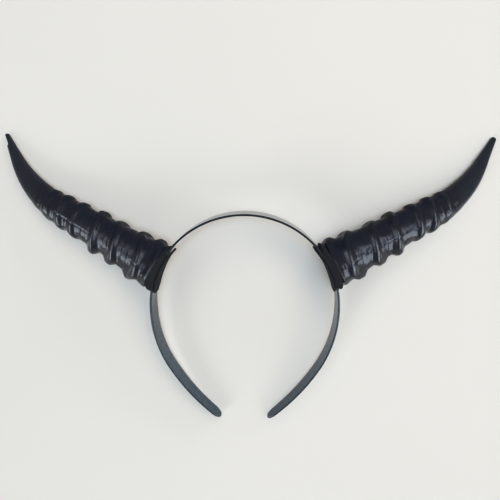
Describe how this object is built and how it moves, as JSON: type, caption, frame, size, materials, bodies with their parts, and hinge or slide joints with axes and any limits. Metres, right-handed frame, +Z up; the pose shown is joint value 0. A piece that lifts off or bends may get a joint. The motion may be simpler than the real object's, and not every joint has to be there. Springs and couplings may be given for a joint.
{
  "type": "ringed horn headband",
  "caption": "Thin springy hair band carrying a swept, ringed horn with a smooth curved tip on each side, on felt base pads with felt patches inside.",
  "frame": {"origin": "middle of the footprint, on the surface that the headband lies on", "axes": "+X from the left horn tip to the right one, +Y from the leg ends to the crown, +Z up off the surface"},
  "size_m": [0.3684, 0.213, 0.0398],
  "materials": {
    "band_plastic": "semi-gloss black",
    "horn_plastic": "glossy black, cast",
    "felt": "matte black felt"
  },
  "bodies": {
    "root": {"headband": "band_plastic", "left_horn": "horn_plastic", "right_horn": "horn_plastic", "left_base_pad": "felt", "right_base_pad": "felt", "left_inner_patch": "felt", "right_inner_patch": "felt"}
  },
  "joints": []
}
